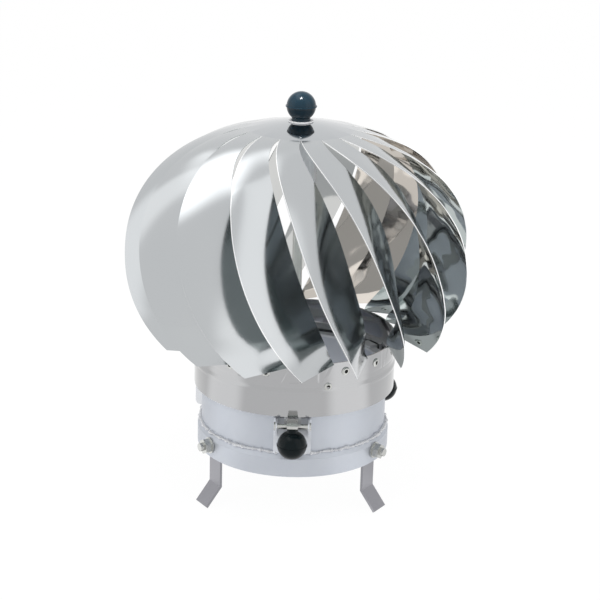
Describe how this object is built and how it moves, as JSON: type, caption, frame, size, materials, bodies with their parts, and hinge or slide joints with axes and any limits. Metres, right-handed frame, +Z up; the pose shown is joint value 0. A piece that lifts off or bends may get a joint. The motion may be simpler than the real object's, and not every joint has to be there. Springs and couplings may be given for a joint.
{
  "type": "rotating chimney cowl",
  "caption": "Spinning ball-shaped cowl of spiral vanes on a round base tube with strap legs, a tilt hinge and ball-handled latches.",
  "frame": {"origin": "on the axis of the flue, level with the toes of the three legs", "axes": "+Z up along the axis of the flue and spindle, +X to the right and -Y towards the front latch"},
  "size_m": [0.3308, 0.3308, 0.4033],
  "materials": {
    "head_sheet": "satin",
    "base_sheet": "satin",
    "strap": "matte",
    "bracket": "satin",
    "fastener": "satin",
    "bush": "satin",
    "knob": "gloss",
    "washer": "matte"
  },
  "bodies": {
    "base": {"base_tube": "base_sheet", "base_band": "base_sheet", "leg_left": "strap", "leg_right": "strap", "leg_rear": "strap", "leg_bolts": "fastener", "leg_washers": "fastener", "leg_nuts": "fastener", "hinge_bracket": "bracket", "hinge_pin": "fastener", "latch_plate_front": "bracket", "latch_pin_front": "fastener", "latch_plate_side": "bracket", "latch_pin_side": "fastener"},
    "carrier": {"hinge_leaf": "bracket", "latch_tongue_front": "bracket", "latch_tongue_side": "bracket", "spider_ring": "bracket", "spider_arm_1": "bracket", "spider_arm_2": "bracket", "spider_arm_3": "bracket", "spider_hub": "bracket", "spindle": "fastener", "retaining_ring": "fastener", "spindle_nut": "fastener"},
    "rotor": {"bearing_housing": "bracket", "lower_bush": "bush", "upper_bush": "bush", "thrust_disc": "fastener", "crown": "head_sheet", "top_stud": "fastener", "crown_washer": "washer", "top_knob": "knob", "lower_ring": "head_sheet", "vane_rivets": "fastener", "skirt_rivets": "fastener", "vane_01": "head_sheet", "vane_02": "head_sheet", "vane_03": "head_sheet", "vane_04": "head_sheet", "vane_05": "head_sheet", "vane_06": "head_sheet", "vane_07": "head_sheet", "vane_08": "head_sheet", "vane_09": "head_sheet", "vane_10": "head_sheet", "vane_11": "head_sheet", "vane_12": "head_sheet", "vane_13": "head_sheet", "vane_14": "head_sheet", "vane_15": "head_sheet", "vane_16": "head_sheet"},
    "latch_front": {"latch_lever_front": "fastener", "latch_knob_front": "knob"},
    "latch_side": {"latch_lever_side": "fastener", "latch_knob_side": "knob"}
  },
  "joints": [
    {"name": "head_tilt", "type": "hinge", "parent": "base", "child": "carrier", "pos_m": [-0.0905, 0.05225, 0.10561], "axis": [-0.5, -0.866, 0], "range_deg": [0, 90]},
    {"name": "rotor_spin", "type": "hinge", "parent": "carrier", "child": "rotor", "pos_m": [0, 0, 0.284], "axis": [0, 0, 1], "continuous": true},
    {"name": "latch_front_swing", "type": "hinge", "parent": "base", "child": "latch_front", "pos_m": [0, -0.1045, 0.10561], "axis": [-1, 0, 0], "range_deg": [0, 65]},
    {"name": "latch_side_swing", "type": "hinge", "parent": "base", "child": "latch_side", "pos_m": [0.0856, 0.05994, 0.09661], "axis": [0.5736, -0.8192, 0], "range_deg": [0, 65]}
  ]
}
